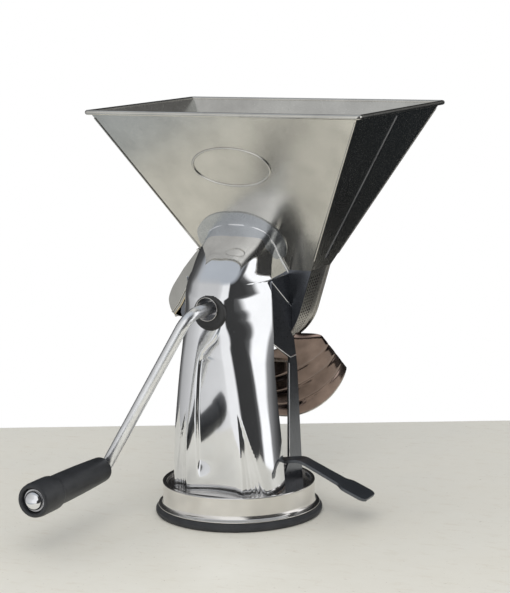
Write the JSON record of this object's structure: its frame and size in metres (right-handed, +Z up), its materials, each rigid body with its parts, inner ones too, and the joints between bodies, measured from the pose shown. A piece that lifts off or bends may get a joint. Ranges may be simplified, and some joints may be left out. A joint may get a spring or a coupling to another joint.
{
  "type": "food mill",
  "caption": "Hand-cranked food mill: flared square hopper over a drum with a perforated screen, waste scoop and juice chute, on a stamped pedestal with a lever-locked suction base",
  "frame": {"origin": "centre of the suction base on the table, under the crank shaft's middle plane", "axes": "+Z up; the crank shaft lies along Y with the crank at -Y and the juice chute at +Y; +X to the right seen from the crank side, the waste scoop at -X"},
  "size_m": [0.2298, 0.3158, 0.3182],
  "materials": {
    "rubber": "matte",
    "steel": "satin",
    "chrome": "gloss",
    "tinplate": "satin",
    "zinc": "satin",
    "black_plastic": "matte",
    "brown_plastic": "matte",
    "white_plastic": "matte",
    "grip_plastic": "matte"
  },
  "bodies": {
    "stand": {"suction_cup": "rubber", "base_ring": "steel", "foot_plate": "steel", "base_screws": "steel", "plunger_guide": "steel", "front_shell": "chrome", "side_plate_left": "chrome", "side_plate_right": "chrome", "chute_rest": "tinplate", "neck_flange": "tinplate", "hopper_front_half": "tinplate", "hopper_rear_half": "tinplate", "rim_wire": "tinplate", "drum_front_plate": "tinplate", "drum_rear_plate": "tinplate", "screen": "tinplate", "waste_scoop": "tinplate", "juice_chute": "tinplate", "bearing_sleeve": "steel", "front_collar": "black_plastic", "sleeve_bushes": "brown_plastic", "rear_bush": "brown_plastic"},
    "plunger": {"plunger_plate": "steel", "plunger_stud": "steel", "lever_pin": "steel"},
    "lever": {"suction_lever": "steel"},
    "crank": {"rotor_shaft": "steel", "rotor_hub": "white_plastic", "paddle_pins": "steel", "paddle_springs": "steel", "shaft_washer": "steel", "shaft_nut": "steel", "crank_rod": "zinc", "crank_pin": "steel", "grip_washer": "steel", "grip_rivet": "chrome"},
    "grip": {"handle_grip": "grip_plastic"},
    "paddle_a": {"paddle_1": "white_plastic"},
    "paddle_b": {"paddle_2": "white_plastic"}
  },
  "joints": [
    {"name": "plunger_slide", "type": "slide", "parent": "stand", "child": "plunger", "axis": [0, 0, -1], "range_m": [0, 0.0028]},
    {"name": "lever_turn", "type": "hinge", "parent": "plunger", "child": "lever", "pos_m": [0, 0, 0.0377], "axis": [0, -1, 0], "range_deg": [0, 55]},
    {"name": "crank_spin", "type": "hinge", "parent": "stand", "child": "crank", "pos_m": [0, 0, 0.1695], "axis": [0, 1, 0], "continuous": true},
    {"name": "grip_spin", "type": "hinge", "parent": "crank", "child": "grip", "pos_m": [-0.07449, -0.13, 0.0465], "axis": [0, 1, 0], "continuous": true},
    {"name": "paddle_1_swing", "type": "hinge", "parent": "crank", "child": "paddle_a", "pos_m": [0.01316, 0.043, 0.17429], "axis": [0, 1, 0], "range_deg": [-12, 0], "stiffness_Nm_per_rad": 0.05, "springref_deg": 11.46},
    {"name": "paddle_2_swing", "type": "hinge", "parent": "crank", "child": "paddle_b", "pos_m": [-0.01316, 0.043, 0.16471], "axis": [0, 1, 0], "range_deg": [-12, 0], "stiffness_Nm_per_rad": 0.05, "springref_deg": 11.46}
  ],
  "couplings": [
    {"joint": "plunger_slide", "follows": "lever_turn", "m_per_rad": 0.002886}
  ]
}
